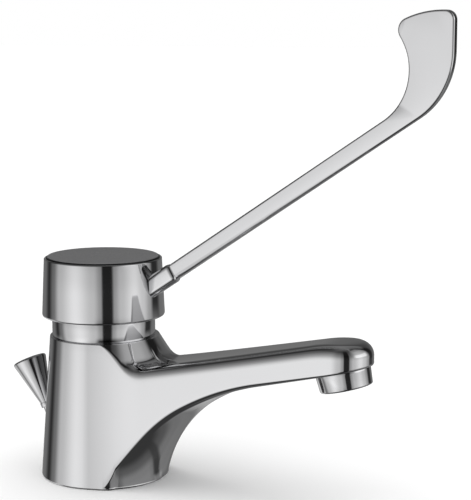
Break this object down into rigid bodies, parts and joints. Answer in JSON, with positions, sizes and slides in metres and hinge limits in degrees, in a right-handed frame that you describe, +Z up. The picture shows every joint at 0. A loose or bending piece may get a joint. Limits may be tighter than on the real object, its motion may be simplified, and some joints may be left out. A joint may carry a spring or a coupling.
{
  "type": "lever mixer tap",
  "caption": "Chrome single-lever basin mixer with a tapering fixed spout, a long elbow lever ending in a flat paddle, a round cap and a pop-up waste knob.",
  "frame": {"origin": "centre of the round foot, on the plane where it meets the basin", "axes": "+Z up out of the basin, +X along the spout towards the user, +Y to the right hand of the user who faces the tap"},
  "size_m": [0.219, 0.0586, 0.2109],
  "materials": {
    "chrome": "polished chrome plate on brass",
    "cover_grey": "satin dark grey",
    "brass": "machined",
    "steel": "turned",
    "white_plastic": "moulded acetal",
    "disc_ceramic": "lapped alumina",
    "rubber": "matt black"
  },
  "bodies": {
    "casting": {"body_casting": "chrome", "base_gasket": "rubber", "collar_ring": "chrome", "cartridge_nut": "brass", "cartridge_housing": "white_plastic", "cartridge_foot": "white_plastic", "port_seals": "rubber", "fixed_disc": "disc_ceramic", "aerator_housing": "chrome", "aerator_insert": "white_plastic", "aerator_washer": "rubber", "rod_bush": "brass"},
    "mixing_rotor": {"rotor": "white_plastic", "rotor_seal": "rubber", "spindle_pin": "steel"},
    "mixing_disc": {"moving_disc": "disc_ceramic", "disc_carrier": "white_plastic"},
    "handle": {"spindle": "brass", "handle_cap": "chrome", "handle_screw": "steel", "top_cover": "cover_grey", "lever_blade": "chrome", "lever_pin": "chrome"},
    "pull_rod": {"popup_rod": "chrome", "popup_knob": "chrome", "knob_locknut": "steel"}
  },
  "joints": [
    {"name": "temperature", "type": "hinge", "parent": "casting", "child": "mixing_rotor", "pos_m": [0, 0, 0.06], "axis": [0, 0, 1], "range_deg": [-45, 45]},
    {"name": "flow", "type": "hinge", "parent": "mixing_rotor", "child": "handle", "pos_m": [0, 0, 0.06], "axis": [0, -1, 0], "range_deg": [0, 25]},
    {"name": "disc_slide", "type": "slide", "parent": "mixing_rotor", "child": "mixing_disc", "axis": [1, 0, 0], "range_m": [0, 0.0062]},
    {"name": "popup", "type": "slide", "parent": "casting", "child": "pull_rod", "axis": [-0.4305, 0, 0.9026], "range_m": [0, 0.012]}
  ],
  "couplings": [
    {"joint": "disc_slide", "follows": "flow", "m_per_rad": 0.013889}
  ]
}
